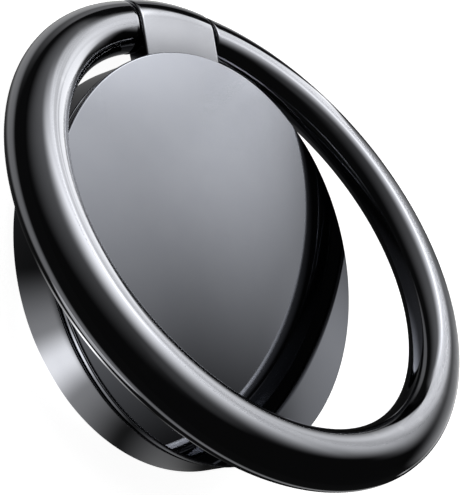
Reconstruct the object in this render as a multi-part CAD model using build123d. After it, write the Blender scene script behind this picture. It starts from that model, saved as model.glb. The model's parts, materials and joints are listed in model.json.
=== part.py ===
from build123d import *
import os
from math import radians, sqrt, tan

# Phone ring holder: a round body that swivels on a stuck-down base, with a finger ring hinged at its rim.
# Millimetres. The origin is the centre of the pad's sticky face, +Z points out of the mirror face
# and +Y points from the body's axis to the hinge. The ring is modelled a little open.

# Finger ring, an oval bar bent to a circle
ring_outer_radius = 20.0
ring_bar_width = 4.0
ring_bar_height = 3.73
ring_open_angle = 20.4
ring_body_gap = 0.42
ring_offset = 0.22

# Hinge
knuckle_width = 7.8
tab_rise = 0.42
tab_seam = 0.06
seam_gap = 0.30
pin_radius = 0.75
pin_length = 12.6
pin_edge_chamfer = 0.1
pin_end_gap = 0.1
pin_clearance = 0.02
sleeve_wall = 0.30
sleeve_slot = 0.5
sleeve_end_inset = 0.15
hinge_washer_wall = 0.8
hinge_washer_clearance = 0.03

# Round body
body_height = 3.04
body_draft = 3.4
body_edge_chamfer = 0.12
skirt_lift = 0.76
skirt_wall = 1.0
skirt_edge_chamfer = 0.15
web_thickness = 1.2

# Cover plate
cover_rim_overlap = 0.07
cover_rim_overhang = 0.60
cover_thickness = 0.53
cover_edge_chamfer = 0.13
cover_groove_height = 0.37

# Base under the body
pad_inset = 0.2
pad_thickness = 0.50
base_thickness = 0.80
base_edge_chamfer = 0.15
skirt_clearance = 0.30
friction_washer_inset = 1.6
friction_washer_thickness = 0.20

# Swivel pivot
rivet_radius = 3.0
rivet_wall = 1.0
rivet_head_overhang = 2.0
rivet_head_thickness = 0.45
rivet_lip_overhang = 0.9
rivet_lip_thickness = 0.30
spring_width = 1.75
spring_thickness = 0.25
spring_cone_height = 0.20
retainer_width = 1.95
retainer_thickness = 0.40
recess_clearance = 0.40

# Fits
running_clearance = 0.05
face_clearance = 0.02

# Heights worked out from the driving dimensions
base_top = pad_thickness + base_thickness
washer_top = base_top + friction_washer_thickness
pocket_ceiling = washer_top + face_clearance
recess_floor = pocket_ceiling + web_thickness
spring_top = recess_floor + spring_thickness + spring_cone_height
retainer_bottom = spring_top + face_clearance
retainer_top = retainer_bottom + retainer_thickness
lip_top = retainer_top + rivet_lip_thickness
body_top = skirt_lift + body_height
seat_top = body_top + cover_groove_height
face_height = seat_top + cover_thickness

# Radii worked out from the driving dimensions, from the ring inwards
bar_half_width = ring_bar_width / 2
bar_half_height = ring_bar_height / 2
ring_radius = ring_outer_radius - bar_half_width
body_bottom_radius = ring_outer_radius - ring_bar_width - ring_body_gap
body_top_radius = body_bottom_radius - body_height * tan(radians(body_draft))
cover_radius = body_top_radius + cover_rim_overlap
seat_radius = cover_radius - cover_rim_overhang
pocket_radius = body_bottom_radius - skirt_wall
base_radius = pocket_radius - skirt_clearance
pad_radius = base_radius - pad_inset
friction_washer_radius = base_radius - friction_washer_inset
pivot_bore_radius = rivet_radius + running_clearance
spring_radius = pivot_bore_radius + spring_width
retainer_radius = pivot_bore_radius + retainer_width
recess_radius = max(retainer_radius, spring_radius) + recess_clearance

# Hinge places worked out from the driving dimensions
half_knuckle = knuckle_width / 2
half_opening = half_knuckle + seam_gap
sleeve_inner_radius = pin_radius + pin_clearance
sleeve_outer_radius = sleeve_inner_radius + sleeve_wall
knuckle_bore_radius = sleeve_outer_radius + pin_clearance
tab_top = body_top + tab_rise
tab_end_radius = cover_radius + tab_seam - ring_offset
hinge_y = ring_offset + sqrt(ring_radius**2 - half_knuckle**2)
hinge_z = tab_top - bar_half_height
ring_hinge = Axis((0, hinge_y, hinge_z), (-1, 0, 0))


def turned(*points):
    """A solid turned about the Z axis from an outline of radius and height pairs."""
    with BuildPart() as made:
        with BuildSketch(Plane.XZ):
            with BuildLine():
                Polyline(*points, close=True)
            make_face()
        revolve(axis=Axis.Z)
    return made.part


def disc(radius, bottom, top, hole=0.0):
    """A flat disc or washer."""
    return turned((hole, bottom), (radius, bottom), (radius, top), (hole, top))


def along_hinge(radius, length, centre_x=0.0):
    """A round bar on the hinge axis."""
    return Pos(centre_x, hinge_y, hinge_z) * Cylinder(radius, length, rotation=(0, 90, 0))


def hinge_side_slab(half_width):
    """The space between two planes across the hinge axis, on the hinge's side of the body."""
    reach = 2 * ring_outer_radius
    return Box(2 * half_width, reach, reach, align=(Align.CENTER, Align.MIN, Align.CENTER))


def bar_arc(start_angle, arc_size):
    """Part of the ring bar's oval section, where the folded ring's bar crosses the XZ plane."""
    centre = (ring_radius, hinge_z)
    return EllipticalCenterArc(centre, bar_half_width, bar_half_height, start_angle, arc_size=arc_size)


# Adhesive pad
def make_adhesive_pad():
    return disc(pad_radius, 0, pad_thickness)


# Base plate, with a counterbore underneath for the rivet's head
def make_base_plate():
    counterbore_radius = rivet_radius + rivet_head_overhang + running_clearance
    counterbore_top = pad_thickness + rivet_head_thickness
    rim = base_radius - base_edge_chamfer
    return turned(
        (counterbore_radius, pad_thickness),
        (rim, pad_thickness),
        (base_radius, pad_thickness + base_edge_chamfer),
        (base_radius, base_top - base_edge_chamfer),
        (rim, base_top),
        (pivot_bore_radius, base_top),
        (pivot_bore_radius, counterbore_top),
        (counterbore_radius, counterbore_top),
    )


# Pivot rivet, hollow, flared over the retainer washer
def make_pivot_rivet():
    head_radius = rivet_radius + rivet_head_overhang
    head_top = pad_thickness + rivet_head_thickness
    lip_radius = rivet_radius + rivet_lip_overhang
    inner_radius = rivet_radius - rivet_wall
    return turned(
        (inner_radius, pad_thickness),
        (head_radius, pad_thickness),
        (head_radius, head_top),
        (rivet_radius, head_top),
        (rivet_radius, retainer_top),
        (lip_radius, retainer_top),
        (rivet_radius, lip_top),
        (inner_radius, retainer_top),
    )


# Friction washer between the base plate and the body
def make_friction_washer():
    return disc(friction_washer_radius, base_top, washer_top, hole=pivot_bore_radius)


# Coned disc spring, resting on its outer rim
def make_disc_spring():
    return turned(
        (spring_radius, recess_floor),
        (spring_radius, recess_floor + spring_thickness),
        (pivot_bore_radius, spring_top),
        (pivot_bore_radius, spring_top - spring_thickness),
    )


# Retainer washer under the rivet's lip
def make_retainer_washer():
    return disc(retainer_radius, retainer_bottom, retainer_top, hole=pivot_bore_radius)


# Round body with its underside pocket, spring recess and raised seat for the cover
def make_round_body():
    return turned(
        (pivot_bore_radius, pocket_ceiling),
        (pocket_radius, pocket_ceiling),
        (pocket_radius, skirt_lift),
        (body_bottom_radius - skirt_edge_chamfer, skirt_lift),
        (body_bottom_radius, skirt_lift + skirt_edge_chamfer),
        (body_top_radius, body_top - body_edge_chamfer),
        (body_top_radius - body_edge_chamfer, body_top),
        (seat_radius, body_top),
        (seat_radius, seat_top),
        (recess_radius, seat_top),
        (recess_radius, recess_floor),
        (pivot_bore_radius, recess_floor),
    )


# Tab and knuckle: a flat top beside the cover's rim that runs into the ring's own oval section
def make_knuckle():
    root_radius = seat_radius - ring_offset
    with BuildPart() as made:
        with BuildSketch(Plane.XZ):
            with BuildLine():
                top = Line((tab_end_radius, tab_top), (ring_radius, tab_top))
                bar_arc(90, -180)
                heel = bar_arc(-90, -90)
                root = Polyline(heel @ 1, (root_radius, hinge_z), (root_radius, body_top))
                Polyline(root @ 1, (tab_end_radius, body_top), top @ 0)
            make_face()
        revolve(axis=Axis.Z)
    swept = made.part & hinge_side_slab(half_knuckle)
    return Pos(0, ring_offset, 0) * swept


# Swivel body: the round body and its knuckle are one casting, bored for the hinge
def make_swivel_body():
    casting = make_round_body() + make_knuckle()
    return casting - along_hinge(knuckle_bore_radius, 2 * knuckle_width)


# Cover plate with a bevelled rim
def make_cover_plate():
    return turned(
        (0, seat_top),
        (cover_radius, seat_top),
        (cover_radius, face_height - cover_edge_chamfer),
        (cover_radius - cover_edge_chamfer, face_height),
        (0, face_height),
    )


# Finger ring: bent to a circle, opened for the knuckle and bored for the pin
def make_finger_ring():
    with BuildPart() as bent:
        with BuildSketch(Plane.XZ):
            with BuildLine():
                bar_arc(-90, 180)
                bar_arc(90, 180)
            make_face()
        revolve(axis=Axis.Z)
    ring = Pos(0, ring_offset, 0) * (bent.part - hinge_side_slab(half_opening))
    ring -= along_hinge(pin_radius + pin_clearance, pin_length + 2 * pin_end_gap)
    return ring.rotate(ring_hinge, ring_open_angle)


# Hinge pin with chamfered ends
def make_hinge_pin():
    pin = along_hinge(pin_radius, pin_length)
    return chamfer(pin.edges().filter_by(GeomType.CIRCLE), pin_edge_chamfer)


# Split sleeve that grips the pin
def make_friction_sleeve():
    length = knuckle_width - 2 * sleeve_end_inset
    sleeve = along_hinge(sleeve_outer_radius, length) - along_hinge(sleeve_inner_radius, length)
    below = (Align.CENTER, Align.CENTER, Align.MAX)
    slot = Pos(0, hinge_y, hinge_z) * Box(length, sleeve_slot, 2 * sleeve_outer_radius, align=below)
    return sleeve - slot


# Thin washer in the seam between the knuckle and one end of the ring
def make_hinge_washer(side):
    thickness = seam_gap - 2 * hinge_washer_clearance
    hole_radius = pin_radius + hinge_washer_clearance
    centre_x = side * (half_knuckle + seam_gap / 2)
    washer = along_hinge(hole_radius + hinge_washer_wall, thickness, centre_x)
    return washer - along_hinge(hole_radius, thickness, centre_x)


parts = {
    "adhesive_pad": make_adhesive_pad(),
    "base_plate": make_base_plate(),
    "pivot_rivet": make_pivot_rivet(),
    "friction_washer": make_friction_washer(),
    "swivel_body": make_swivel_body(),
    "disc_spring": make_disc_spring(),
    "retainer_washer": make_retainer_washer(),
    "cover_plate": make_cover_plate(),
    "finger_ring": make_finger_ring(),
    "hinge_pin": make_hinge_pin(),
    "friction_sleeve": make_friction_sleeve(),
    "hinge_washer_left": make_hinge_washer(-1),
    "hinge_washer_right": make_hinge_washer(1),
}

os.makedirs("parts", exist_ok=True)
for node, shape in parts.items():
    export_step(shape, f"parts/{node}.step")
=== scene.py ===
"""Phone ring holder: the finished look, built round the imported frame. Lengths are in metres."""

import json
import math

import bmesh
import bpy
from mathutils import Matrix, Vector


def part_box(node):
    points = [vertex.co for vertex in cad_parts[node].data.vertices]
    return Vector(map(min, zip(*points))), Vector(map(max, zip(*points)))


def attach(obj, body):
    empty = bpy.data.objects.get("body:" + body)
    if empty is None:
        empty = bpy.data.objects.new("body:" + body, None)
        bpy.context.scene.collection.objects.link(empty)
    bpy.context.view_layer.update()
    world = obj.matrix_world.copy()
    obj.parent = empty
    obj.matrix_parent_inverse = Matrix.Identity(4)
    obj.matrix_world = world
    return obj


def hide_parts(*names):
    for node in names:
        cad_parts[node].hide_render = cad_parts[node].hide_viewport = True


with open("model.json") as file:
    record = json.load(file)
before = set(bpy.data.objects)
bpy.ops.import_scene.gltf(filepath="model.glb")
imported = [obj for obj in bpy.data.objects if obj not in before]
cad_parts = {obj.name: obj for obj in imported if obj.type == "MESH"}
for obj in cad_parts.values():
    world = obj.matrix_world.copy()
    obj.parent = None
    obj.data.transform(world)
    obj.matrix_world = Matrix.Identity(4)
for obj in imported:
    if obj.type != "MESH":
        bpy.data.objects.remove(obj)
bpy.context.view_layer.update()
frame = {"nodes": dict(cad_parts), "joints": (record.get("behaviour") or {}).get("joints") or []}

MM = 0.001
WHITE = (1, 1, 1, 1)

# Sizes and places that the frame gives
swivel_low, swivel_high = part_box("swivel_body")
_, cover_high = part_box("cover_plate")
_, ring_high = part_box("finger_ring")
_, pin_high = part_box("hinge_pin")
flip_joint = next(joint for joint in frame["joints"] if joint["name"] == "ring_flip")
hinge_point = Vector(flip_joint["pos_m"])
hinge_axis = Vector(flip_joint["axis"])
ring_open_angle = math.radians(-flip_joint["range_deg"][0])
ring_outer_radius = ring_high.x
body_bottom_radius = swivel_high.x
skirt_bottom = swivel_low.z
seat_top = swivel_high.z
cover_radius = cover_high.x
face_height = cover_high.z

# Ring bar and hinge
bar_width = 4.0 * MM
bar_height = 3.73 * MM
ring_offset = Vector((0, 0.22 * MM, 0))
knuckle_half_width = 3.9 * MM
ring_end = 4.2 * MM
knuckle_bore_radius = 1.09 * MM
knuckle_bore_overrun = 1.0 * MM
pin_bore_radius = 0.77 * MM
pin_bore_end = pin_high.x + 0.1 * MM
ring_edge_rounding = 0.16 * MM
knuckle_edge_rounding = 0.16 * MM

# Round body under the cover
body_draft = math.radians(3.4)
body_edge_rounding = 0.12 * MM
skirt_edge_rounding = 0.15 * MM
skirt_wall = 1.0 * MM
pocket_ceiling = 1.52 * MM
recess_radius = 5.4 * MM
recess_floor = 2.72 * MM
pivot_bore_radius = 3.05 * MM
seat_radius = cover_radius - 0.60 * MM
tab_rise = 0.42 * MM
tab_seam = 0.06 * MM
tab_end_rounding = 0.05 * MM
tab_root_depth = 0.4 * MM

# Cover plate
cover_edge_rounding = 0.13 * MM
cover_lower_rounding = 0.05 * MM

# Values worked out from those above
bar_half_width = bar_width / 2
bar_half_height = bar_height / 2
ring_radius = ring_outer_radius - bar_half_width
pocket_radius = body_bottom_radius - skirt_wall
tab_top = hinge_point.z + bar_half_height
body_top = tab_top - tab_rise
body_top_radius = body_bottom_radius - (body_top - skirt_bottom) * math.tan(body_draft)
tab_end_radius = cover_radius + tab_seam - ring_offset.y
tab_root_radius = tab_end_radius - tab_root_depth

# Fineness of the meshes
turn_steps = 360
ring_steps = 480
section_steps = 96
rounding_steps = 5
knuckle_steps = 48
studio_steps = 128
sharp_angle = math.radians(35)
flat_face_weight = 100

# Finishes: colours, patches of noise to the metre, and the values between which most noise lies
plating_colour = (0.231, 0.236, 0.253, 1)
plating_worn = (0.29, 0.295, 0.31, 1)
mirror_colour = (0.245, 0.254, 0.281, 1)
mirror_worn = (0.28, 0.29, 0.31, 1)
steel_colour = (0.46, 0.46, 0.47, 1)
steel_paler = (0.58, 0.58, 0.59, 1)
nylon_colour = (0.03, 0.03, 0.033, 1)
nylon_paler = (0.06, 0.06, 0.064, 1)
pad_colour = (0.06, 0.06, 0.064, 1)
pad_paler = (0.12, 0.12, 0.125, 1)
mottle_patches = 420.0
polish_patches = 1600.0
ripple_patches = 260.0
steel_patches = 700.0
steel_lines = 900.0
noise_low = 0.3
noise_high = 0.7
mottle_share = 0.16
worn_share = 0.35
worn_from = 0.52
worn_to = 0.62
polish_least = 0.75
polish_most = 1.35
grain_roughness_swing = 0.08

# Camera, from the photograph's outlines
camera_lens = 74.618
camera_eye = Vector((-55.987, -8.198, 55.207)) * MM
camera_aim = Vector((1.0289, 0.4309, 4.7)) * MM
camera_up = Vector((0.02686, 0.97989, 0.19772))
camera_nearest = 0.005
camera_farthest = 10.0

# Studio
floor_height = -0.02 * MM
floor_paper = (0.8, 0.8, 0.8, 1)
floor_glow = 0.95
tent_radius = 4.0
tent_low_glow = 0.01
tent_high_glow = 0.0678
tent_glow_start = 0.947 * tent_radius
cloth_glow = 0.012
wedge_radius = 19.1
wedge_soft_edge = 0.5
screen_soft_side = 4.0
studio_centre = Vector((0, 0, 8)) * MM


# Mesh helpers
def rounded(*corners):
    """A closed outline of (x, y, rounding) corners, with each rounding drawn as an arc."""
    outline = []
    for i, (x, y, radius) in enumerate(corners):
        corner = Vector((x, y))
        if radius == 0:
            outline.append(corner)
            continue
        before = (Vector(corners[i - 1][:2]) - corner).normalized()
        after = (Vector(corners[(i + 1) % len(corners)][:2]) - corner).normalized()
        half_angle = before.angle(after) / 2
        centre = corner + (before + after).normalized() * (radius / math.sin(half_angle))
        first = (corner + before * (radius / math.tan(half_angle)) - centre).normalized()
        last = (corner + after * (radius / math.tan(half_angle)) - centre).normalized()
        for step in range(rounding_steps + 1):
            outline.append(centre + first.slerp(last, step / rounding_steps) * radius)
    return outline


def quarter_turn(radius):
    """Points of a rounded edge as (along, inset) pairs, from the end's face to the full section."""
    points = []
    for step in range(rounding_steps, -1, -1):
        angle = math.pi / 2 * step / rounding_steps
        points.append((radius * (1 - math.sin(angle)), radius * (1 - math.cos(angle))))
    return points


def whole_turn(steps):
    return [math.tau * step / steps for step in range(steps)]


def circle_about_z(radius, height):
    return [(radius * math.cos(a), radius * math.sin(a), height) for a in whole_turn(turn_steps)]


def add_loops(mesh, loops):
    return [[mesh.verts.new(point) for point in points] for points in loops]


def bridge(mesh, loops):
    """Quads between each closed loop and the next. All have the same number of points."""
    for loop, next_loop in zip(loops, loops[1:]):
        for i in range(len(loop)):
            j = (i + 1) % len(loop)
            mesh.faces.new((loop[i], loop[j], next_loop[j], next_loop[i]))


def make_object(name, mesh):
    """An object from a bmesh, with its faces turned outwards."""
    bmesh.ops.recalc_face_normals(mesh, faces=mesh.faces)
    data = bpy.data.meshes.new(name)
    mesh.to_mesh(data)
    mesh.free()
    piece = bpy.data.objects.new(name, data)
    bpy.context.scene.collection.objects.link(piece)
    return piece


def lofted(name, loops, move=None):
    """A solid through closed loops of points, with both ends capped."""
    mesh = bmesh.new()
    loops = add_loops(mesh, loops)
    bridge(mesh, loops)
    mesh.faces.new(loops[0])
    mesh.faces.new(loops[-1])
    if move is not None:
        mesh.transform(move)
    return make_object(name, mesh)


def turned(name, outline):
    """A closed outline of (radius, height) points turned about the Z axis."""
    mesh = bmesh.new()
    loops = add_loops(mesh, [circle_about_z(radius, height) for radius, height in outline])
    bridge(mesh, loops + loops[:1])
    return make_object(name, mesh)


def combine(piece, tool, operation):
    """Joins tool to piece or cuts it out of piece, and removes tool."""
    modifier = piece.modifiers.new("combine", "BOOLEAN")
    modifier.operation = operation
    modifier.object = tool
    modifier.solver = "EXACT"
    evaluated = piece.evaluated_get(bpy.context.evaluated_depsgraph_get())
    combined = bpy.data.meshes.new_from_object(evaluated)
    piece.modifiers.clear()
    piece.data = combined
    bpy.data.objects.remove(tool)


def shade(piece):
    """Smooth shading that keeps flat faces flat and sharp corners sharp."""
    piece.data.shade_smooth()
    piece.data.set_sharp_from_angle(angle=sharp_angle)
    weighted = piece.modifiers.new("flat_faces", "WEIGHTED_NORMAL")
    weighted.keep_sharp = True
    weighted.weight = flat_face_weight


def dress(piece, material, slot, body, *nodes):
    """Shades a piece, gives it its finish and its body, and hides the frame's nodes that it stands for."""
    shade(piece)
    piece.data.materials.clear()
    piece.data.materials.append(material)
    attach(piece, body)
    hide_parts(*nodes)


# Finger ring
def bar_section(distance, inset, sweep_share=None):
    """One loop round the folded ring's bar, at a distance from the end's plane or at a share of the sweep."""
    points = []
    for angle in whole_turn(section_steps):
        radius = ring_radius + (bar_half_width - inset) * math.cos(angle)
        height = hinge_point.z + (bar_half_height - inset) * math.sin(angle)
        turn = math.asin((ring_end + distance) / radius)
        if sweep_share is not None:
            turn += sweep_share * (math.tau - 2 * turn)
        points.append(ring_offset + Vector((radius * math.sin(turn), radius * math.cos(turn), height)))
    return points


def bore_loop(x, radius):
    """A circle round the hinge axis, with its points in step with the bar's section."""
    y, z = hinge_point.y, hinge_point.z
    return [Vector((x, y + radius * math.cos(a), z + radius * math.sin(a))) for a in whole_turn(section_steps)]


def mirrored(points):
    return [Vector((-point.x, point.y, point.z)) for point in points]


def make_ring():
    """The bar from the bottom of one end's pin bore, round the circle, to the bottom of the other's."""
    end = [bore_loop(pin_bore_end, pin_bore_radius), bore_loop(ring_end, pin_bore_radius)]
    end += [bar_section(along, inset) for along, inset in quarter_turn(ring_edge_rounding)]
    sweep = [bar_section(ring_edge_rounding, 0, step / ring_steps) for step in range(1, ring_steps)]
    other_end = [mirrored(points) for points in reversed(end)]
    opened = Matrix.Translation(hinge_point) @ Matrix.Rotation(ring_open_angle, 4, hinge_axis)
    return lofted("ring_bar", end + sweep + other_end, opened @ Matrix.Translation(-hinge_point))


# Round body with its tab and knuckle
def knuckle_outline(inset):
    """The tab's flat top running into the bar's oval, as (radius, height) points."""
    half_width = bar_half_width - inset
    half_height = bar_half_height - inset
    tab_bottom = body_top - tab_end_rounding
    outline = [(tab_root_radius, tab_bottom), (tab_end_radius, tab_bottom)]
    for down, along in reversed(quarter_turn(tab_end_rounding)):
        outline.append((tab_end_radius + along, tab_top - inset - down))
    arc_steps = 3 * section_steps // 4
    for step in range(arc_steps + 1):
        angle = math.pi / 2 - 1.5 * math.pi * step / arc_steps
        radius = ring_radius + half_width * math.cos(angle)
        outline.append((radius, hinge_point.z + half_height * math.sin(angle)))
    outline.append((tab_root_radius, hinge_point.z + inset))
    return outline


def knuckle_loop(x, inset):
    outline = knuckle_outline(inset)
    return [ring_offset + Vector((x, math.sqrt(radius**2 - x**2), height)) for radius, height in outline]


def make_knuckle():
    edge = quarter_turn(knuckle_edge_rounding)[:-1]
    end = [(knuckle_half_width - along, inset) for along, inset in edge]
    straight = knuckle_half_width - knuckle_edge_rounding
    middle = [(straight - 2 * straight * step / knuckle_steps, 0) for step in range(knuckle_steps + 1)]
    other_end = [(-x, inset) for x, inset in reversed(end)]
    return lofted("knuckle", [knuckle_loop(x, inset) for x, inset in end + middle + other_end])


def make_bore():
    reach = knuckle_half_width + knuckle_bore_overrun
    return lofted("bore", [bore_loop(x, knuckle_bore_radius) for x in (-reach, reach)])


def make_body():
    outline = rounded(
        (pivot_bore_radius, pocket_ceiling, 0),
        (pocket_radius, pocket_ceiling, 0),
        (pocket_radius, skirt_bottom, 0),
        (body_bottom_radius, skirt_bottom, skirt_edge_rounding),
        (body_top_radius, body_top, body_edge_rounding),
        (seat_radius, body_top, 0),
        (seat_radius, seat_top, 0),
        (recess_radius, seat_top, 0),
        (recess_radius, recess_floor, 0),
        (pivot_bore_radius, recess_floor, 0),
    )
    body = turned("body_casting", outline)
    combine(body, make_knuckle(), "UNION")
    combine(body, make_bore(), "DIFFERENCE")
    return body


# Cover plate with a rounded rim
def make_cover():
    outline = rounded(
        (0, seat_top, 0),
        (cover_radius, seat_top, cover_lower_rounding),
        (cover_radius, face_height, cover_edge_rounding),
        (0, face_height, 0),
    )
    return lofted("cover_disc", [circle_about_z(radius, height) for radius, height in outline if radius > 0])


# Material helpers
def add(tree, kind, inputs=None, **settings):
    """A node with its settings made and each input either set to a value or linked to an output."""
    node = tree.nodes.new(kind)
    for name, value in settings.items():
        setattr(node, name, value)
    for name, value in (inputs or {}).items():
        socket = node.inputs[name]
        if isinstance(value, bpy.types.NodeSocket):
            tree.links.new(value, socket)
        else:
            socket.default_value = value
    return node


def new_material(name):
    material = bpy.data.materials.new(name)
    material.use_nodes = True
    material.node_tree.nodes.clear()
    return material, material.node_tree


def surface(tree, shader):
    add(tree, "ShaderNodeOutputMaterial", {"Surface": shader.outputs[0]})


def calculate(tree, operation, *values):
    """The sum, product or the like of several values, taken from left to right."""
    result = values[0]
    for value in values[1:]:
        result = add(tree, "ShaderNodeMath", {0: result, 1: value}, operation=operation).outputs[0]
    return result


def spread(tree, value, low, high, start=0.0, stop=1.0):
    """A value between start and stop mapped to between low and high, with soft ends."""
    inputs = {"Value": value, "From Min": start, "From Max": stop, "To Min": low, "To Max": high}
    return add(tree, "ShaderNodeMapRange", inputs, interpolation_type="SMOOTHSTEP").outputs["Result"]


def object_place(tree):
    return add(tree, "ShaderNodeTexCoord").outputs["Object"]


def split(tree, vector):
    return add(tree, "ShaderNodeSeparateXYZ", {0: vector}).outputs


def noise(tree, patches, detail=2.0):
    """Noise with about this many patches to the metre."""
    inputs = {"Vector": object_place(tree), "Scale": patches, "Detail": detail}
    return add(tree, "ShaderNodeTexNoise", inputs).outputs["Fac"]


def mixed_colour(tree, share, colour, other):
    factor, first, second, mixed = 0, 6, 7, 2
    inputs = {factor: share, first: colour, second: other}
    return add(tree, "ShaderNodeMix", inputs, data_type="RGBA").outputs[mixed]


def relief(tree, height, strength, distance):
    inputs = {"Height": height, "Strength": strength, "Distance": distance}
    return add(tree, "ShaderNodeBump", inputs).outputs[0]


def black_plating(name, colour, worn_colour, roughness, ripple):
    """Polished dark plating: faint mottling, a polish that varies, thinner plating on edges, a slight ripple."""
    material, tree = new_material(name)
    mottled = spread(tree, noise(tree, mottle_patches, 3.0), 0.0, mottle_share, noise_low, noise_high)
    base = mixed_colour(tree, mottled, colour, worn_colour)
    pointiness = add(tree, "ShaderNodeNewGeometry").outputs["Pointiness"]
    edge = spread(tree, pointiness, 0.0, worn_share, worn_from, worn_to)
    smoothest, roughest = roughness * polish_least, roughness * polish_most
    polish = spread(tree, noise(tree, polish_patches, 4.0), smoothest, roughest, noise_low, noise_high)
    inputs = {
        "Base Color": mixed_colour(tree, edge, base, worn_colour),
        "Metallic": 1.0,
        "Roughness": polish,
        "Normal": relief(tree, noise(tree, ripple_patches, 1.0), 1.0, ripple),
    }
    surface(tree, add(tree, "ShaderNodeBsdfPrincipled", inputs))
    return material


def satin_steel(name):
    """Plain steel with fine turned lines."""
    material, tree = new_material(name)
    wave = {"Vector": object_place(tree), "Scale": steel_lines, "Distortion": 1.5, "Detail": 2.0}
    lines = add(tree, "ShaderNodeTexWave", wave, wave_type="RINGS", rings_direction="Z").outputs["Fac"]
    inputs = {
        "Base Color": mixed_colour(tree, noise(tree, steel_patches), steel_colour, steel_paler),
        "Metallic": 1.0,
        "Roughness": spread(tree, lines, 0.24, 0.36),
        "Normal": relief(tree, lines, 0.3, 2e-6),
    }
    surface(tree, add(tree, "ShaderNodeBsdfPrincipled", inputs))
    return material


def matte_dark(name, colour, paler, grain_patches, grain_height, roughness):
    """Dark plastic or foam with a fine grain."""
    material, tree = new_material(name)
    grain = noise(tree, grain_patches, 5.0)
    smoothest, roughest = roughness - grain_roughness_swing, roughness + grain_roughness_swing
    inputs = {
        "Base Color": mixed_colour(tree, spread(tree, grain, 0.0, 1.0, noise_low, noise_high), colour, paler),
        "Roughness": spread(tree, grain, smoothest, roughest),
        "Normal": relief(tree, grain, 0.6, grain_height),
    }
    surface(tree, add(tree, "ShaderNodeBsdfPrincipled", inputs))
    return material


# Studio: a white floor, and round the object a dark tent, soft boxes and cards that only reflections see
def seen_directly(tree):
    """One for rays that the camera, a mirror or glass sends out, and nought for others."""
    rays = add(tree, "ShaderNodeLightPath").outputs
    kinds = [rays[kind] for kind in ("Is Camera Ray", "Is Glossy Ray", "Is Transmission Ray")]
    return calculate(tree, "MAXIMUM", *kinds)


def glow(tree, strength):
    return add(tree, "ShaderNodeEmission", {"Color": WHITE, "Strength": strength})


def clear(tree):
    return add(tree, "ShaderNodeBsdfTransparent")


def added(tree, shader, other):
    return add(tree, "ShaderNodeAddShader", {0: shader.outputs[0], 1: other.outputs[0]})


def covered(tree, share, below, above):
    """One shader laid over another, to this share."""
    return add(tree, "ShaderNodeMixShader", {0: share, 1: below.outputs[0], 2: above.outputs[0]})


def hide_from_camera(card):
    """Leaves a card to reflections alone: the camera doesn't see it and it casts no shadow."""
    card.visible_camera = False
    card.visible_shadow = False


def make_world():
    world = bpy.data.worlds.new("white_room")
    world.use_nodes = True
    tree = world.node_tree
    tree.nodes.clear()
    light = add(tree, "ShaderNodeBackground", {"Color": WHITE, "Strength": seen_directly(tree)})
    add(tree, "ShaderNodeOutputWorld", {"Surface": light.outputs[0]})
    bpy.context.scene.world = world


def floor_disc(name, height):
    mesh = bmesh.new()
    bmesh.ops.create_circle(mesh, cap_ends=True, segments=studio_steps, radius=tent_radius)
    disc = make_object(name, mesh)
    disc.location.z = height
    return disc


def make_floor():
    floor = floor_disc("studio_floor", floor_height)
    material, tree = new_material("white_floor")
    white = glow(tree, calculate(tree, "MULTIPLY", seen_directly(tree), floor_glow))
    surface(tree, added(tree, white, add(tree, "ShaderNodeBsdfDiffuse", {"Color": floor_paper})))
    floor.data.materials.append(material)


def make_tent():
    mesh = bmesh.new()
    bmesh.ops.create_uvsphere(mesh, u_segments=64, v_segments=32, radius=tent_radius)
    tent = make_object("studio_tent", mesh)
    tent.visible_camera = False
    material, tree = new_material("dark_cloth")
    height = split(tree, object_place(tree))["Z"]
    surface(tree, glow(tree, spread(tree, height, tent_low_glow, tent_high_glow, tent_glow_start, tent_radius)))
    tent.data.materials.append(material)


def make_quad(name, corners):
    mesh = bmesh.new()
    mesh.faces.new([mesh.verts.new((x, y, 0)) for x, y in corners])
    return make_object(name, mesh)


def make_card(name, azimuth, elevation, roll, width, height, distance):
    """A card that faces the object. All but the distance are in degrees, and azimuth turns from +X to +Y."""
    turn, rise, lean = math.radians(azimuth), math.radians(elevation), math.radians(roll)
    aim = Vector((math.cos(rise) * math.cos(turn), math.cos(rise) * math.sin(turn), math.sin(rise)))
    side = Vector((-math.sin(turn), math.cos(turn), 0))
    side.rotate(Matrix.Rotation(lean, 3, aim))
    card = make_quad(name, ((-1, -1), (1, -1), (1, 1), (-1, 1)))
    half_width = distance * math.tan(math.radians(width / 2))
    half_height = distance * math.tan(math.radians(height / 2))
    axes = Matrix((side, aim.cross(side), aim)).transposed().to_4x4()
    place = Matrix.Translation(studio_centre + aim * distance)
    card.matrix_world = place @ axes @ Matrix.Diagonal((half_width, half_height, 1, 1))
    hide_from_camera(card)
    material, tree = new_material(name)
    card.data.materials.append(material)
    return tree


def soft_edges(tree, soft_sides, soft_ends):
    """The share of a card that counts at each place: one in the middle and nought at the edges."""
    place = split(tree, object_place(tree))
    shares = []
    for axis, (low_edge, high_edge) in (("X", soft_sides), ("Y", soft_ends)):
        shares.append(spread(tree, place[axis], 0.0, 1.0, -1.0, -1.0 + 2 * low_edge))
        shares.append(spread(tree, place[axis], 1.0, 0.0, 1.0 - 2 * high_edge, 1.0))
    return calculate(tree, "MULTIPLY", *shares)


def soft_box(name, strength, soft_sides, soft_ends, **place):
    """A glowing card with soft edges, given as shares of its width and height."""
    tree = make_card(name, **place)
    level = calculate(tree, "MULTIPLY", soft_edges(tree, soft_sides, soft_ends), strength)
    surface(tree, added(tree, glow(tree, level), clear(tree)))


def dark_flag(name, strength, soft_sides, soft_ends, **place):
    """A dark card with soft edges that holds back the light behind it."""
    tree = make_card(name, **place)
    share = calculate(tree, "MULTIPLY", soft_edges(tree, soft_sides, soft_ends), strength)
    surface(tree, covered(tree, share, clear(tree), glow(tree, 0.0)))


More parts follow.
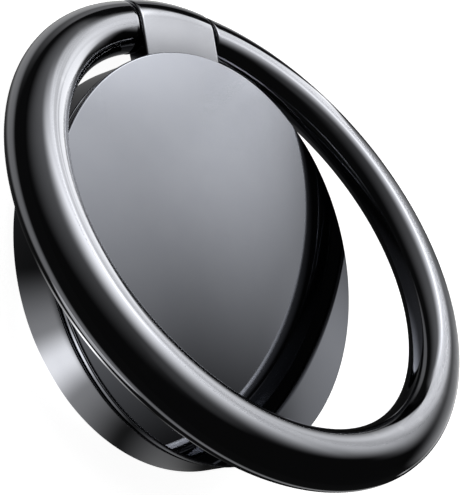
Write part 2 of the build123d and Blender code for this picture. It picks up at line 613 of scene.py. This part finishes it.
def measured_from(tree, centre, turn, half_size):
    """A place on a cloth, measured from a patch's centre in the patch's own half sizes, which are in millimetres."""
    inputs = {
        "Vector": object_place(tree),
        "Location": (centre[0] * MM, centre[1] * MM, 0),
        "Rotation": (0, 0, math.radians(turn)),
        "Scale": (half_size[0] * MM, half_size[1] * MM, 1),
    }
    return add(tree, "ShaderNodeMapping", inputs, vector_type="TEXTURE").outputs[0]


def length_of(tree, vector):
    return add(tree, "ShaderNodeVectorMath", {0: vector}, operation="LENGTH").outputs["Value"]


def light_patch(tree, centre, turn, half_size, strength, soft):
    """An oval patch of light on a cloth."""
    distance = length_of(tree, measured_from(tree, centre, turn, half_size))
    return calculate(tree, "MULTIPLY", spread(tree, distance, 1.0, 0.0, 1.0 - soft, 1.0), strength)


def light_band(tree, centre, stretch, radius, width, soft_inside, soft_outside, strength):
    """A round band of light on the floor cloth, drawn in along Y by its stretch."""
    distance = length_of(tree, measured_from(tree, centre, 0, (1, 1 / stretch)))
    outer_radius = radius + width
    inside = spread(tree, distance, 0.0, 1.0, radius - soft_inside, radius)
    outside = spread(tree, distance, 1.0, 0.0, outer_radius, outer_radius + soft_outside)
    return calculate(tree, "MULTIPLY", inside, outside, strength)


def light_wedge(tree, azimuth, width, strength, soft_sides):
    """A wedge of light at the foot of the body's wall, with its width in degrees."""
    place = measured_from(tree, (0, 0), azimuth, (1, 1))
    parts = split(tree, place)
    angle = calculate(tree, "ARCTAN2", parts["Y"], parts["X"])
    full = math.radians(width)
    half = full / 2
    low = spread(tree, angle, 0.0, 1.0, -half, -half + full * soft_sides[0])
    high = spread(tree, angle, 1.0, 0.0, half - full * soft_sides[1], half)
    nearest, farthest = wedge_radius - wedge_soft_edge, wedge_radius + wedge_soft_edge
    near = spread(tree, length_of(tree, place), 1.0, 0.0, nearest, farthest)
    return calculate(tree, "MULTIPLY", low, high, near, strength)


def make_floor_cloth():
    cloth = floor_disc("floor_cloth", floor_height / 2)
    hide_from_camera(cloth)
    cloth.visible_diffuse = False
    material, tree = new_material("floor_cloth")
    lights = (
        light_band(tree, centre=(4.2, -4.02), stretch=1.05, radius=29.5, width=2.5,
                   soft_inside=2.74, soft_outside=6.0, strength=0.443),
        light_patch(tree, centre=(24.4, 57.8), turn=-32.4, half_size=(34.3, 77.1), strength=0.326, soft=0.71),
        light_patch(tree, centre=(83.6, -5.0), turn=0.0, half_size=(49.1, 56.2), strength=2.66, soft=0.12),
        light_patch(tree, centre=(-21.7, -10.9), turn=16.7, half_size=(2.41, 8.96), strength=1.21, soft=0.32),
        light_wedge(tree, azimuth=206.0, width=20.8, strength=2.2, soft_sides=(0.43, 0.5)),
        light_wedge(tree, azimuth=207.0, width=58.0, strength=0.793, soft_sides=(0.35, 0.41)),
        light_wedge(tree, azimuth=250.0, width=35.6, strength=0.234, soft_sides=(0.5, 0.5)),
    )
    surface(tree, glow(tree, calculate(tree, "ADD", *lights, cloth_glow)))
    cloth.data.materials.append(material)


def dark_screen(name, azimuth, distance, offset, width, height, soft_top, strength, spot):
    """A dark screen that stands on the floor beside the ring, with a soft light spot on it. In millimetres."""
    turn = math.radians(azimuth)
    normal = Vector((math.cos(turn), math.sin(turn), 0))
    side = Vector((-math.sin(turn), math.cos(turn), 0))
    half_width, top, soft_side = width * MM / 2, height * MM, screen_soft_side * MM
    screen = make_quad(name, ((-half_width, 0), (half_width, 0), (half_width, top), (-half_width, top)))
    axes = Matrix((side, Vector((0, 0, 1)), normal)).transposed().to_4x4()
    screen.matrix_world = Matrix.Translation((normal * distance + side * offset) * MM) @ axes
    hide_from_camera(screen)
    material, tree = new_material(name)
    place = split(tree, object_place(tree))
    share = calculate(
        tree,
        "MULTIPLY",
        spread(tree, place["X"], 0.0, 1.0, -half_width, soft_side - half_width),
        spread(tree, place["X"], 1.0, 0.0, half_width - soft_side, half_width),
        spread(tree, place["Y"], 1.0, 0.0, (height - soft_top) * MM, top),
        strength,
    )
    surface(tree, covered(tree, share, clear(tree), glow(tree, light_patch(tree, **spot))))
    screen.data.materials.append(material)


def make_cards():
    soft_box("key_box", azimuth=47.2, elevation=52.6, roll=-22.8, width=71.0, height=61.1, distance=1.2,
             strength=5.92, soft_sides=(0.89, 0.47), soft_ends=(0.36, 0.9))
    soft_box("wide_box", azimuth=26.4, elevation=32.6, roll=-13.1, width=75.8, height=25.6, distance=0.151,
             strength=3.55, soft_sides=(0.9, 0.24), soft_ends=(0.53, 0.66))
    soft_box("low_box", azimuth=25.1, elevation=14.5, roll=60.0, width=41.3, height=31.9, distance=0.12,
             strength=3.08, soft_sides=(0.06, 0.31), soft_ends=(0.071, 0.66))
    soft_box("side_box", azimuth=101.0, elevation=54.7, roll=1.86, width=109.0, height=108.0, distance=1.2,
             strength=0.532, soft_sides=(0.074, 0.9), soft_ends=(0.42, 0.83))
    soft_box("strip_box", azimuth=42.0, elevation=31.9, roll=13.3, width=25.8, height=35.9, distance=0.12,
             strength=8.0, soft_sides=(0.69, 0.39), soft_ends=(0.061, 0.47))
    spot = dict(centre=(-9.93, 17.8), turn=0, half_size=(18.7, 11.0), strength=0.944, soft=0.75)
    dark_screen("side_screen", azimuth=-10.7, distance=28.9, offset=1.83, width=56.6, height=34.1,
                soft_top=29.8, strength=0.989, spot=spot)
    dark_flag("key_flag", azimuth=37.9, elevation=31.0, roll=27.5, width=33.4, height=40.9, distance=0.115,
              strength=0.766, soft_sides=(0.59, 0.33), soft_ends=(0.048, 0.52))


def make_camera():
    data = bpy.data.cameras.new("camera")
    data.lens = camera_lens
    data.clip_start = camera_nearest
    data.clip_end = camera_farthest
    camera = bpy.data.objects.new("camera", data)
    bpy.context.scene.collection.objects.link(camera)
    back = (camera_eye - camera_aim).normalized()
    right = camera_up.cross(back).normalized()
    turn = Matrix((right, back.cross(right), back)).transposed()
    camera.matrix_world = Matrix.Translation(camera_eye) @ turn.to_4x4()
    bpy.context.scene.camera = camera


# Pieces and their finishes
ring_plating = black_plating("ring_plating", plating_colour, plating_worn, roughness=0.05, ripple=4e-7)
body_plating = black_plating("body_plating", plating_colour, plating_worn, roughness=0.05, ripple=3e-7)
cover_mirror = black_plating("cover_mirror", mirror_colour, mirror_worn, roughness=0.03, ripple=1e-7)
inner_steel = satin_steel("inner_steel")
nylon = matte_dark("nylon", nylon_colour, nylon_paler, grain_patches=2500.0, grain_height=4e-6, roughness=0.5)
adhesive = matte_dark("adhesive", pad_colour, pad_paler, grain_patches=1800.0, grain_height=2e-5, roughness=0.8)

dress(make_ring(), ring_plating, "ring_plating", "ring", "finger_ring")
dress(make_body(), body_plating, "body_plating", "swivel", "swivel_body")
dress(make_cover(), cover_mirror, "cover_mirror", "swivel", "cover_plate")

node_finishes = {
    "adhesive_pad": adhesive,
    "base_plate": inner_steel,
    "pivot_rivet": inner_steel,
    "friction_washer": nylon,
    "disc_spring": inner_steel,
    "retainer_washer": inner_steel,
    "hinge_pin": inner_steel,
    "friction_sleeve": inner_steel,
    "hinge_washer_left": nylon,
    "hinge_washer_right": nylon,
}
for name, material in node_finishes.items():
    materials = frame["nodes"][name].data.materials
    for index in range(len(materials)):
        materials[index] = material

# Studio and camera
make_world()
make_floor()
make_tent()
make_floor_cloth()
make_cards()
make_camera()
bpy.context.scene.view_settings.view_transform = "Standard"
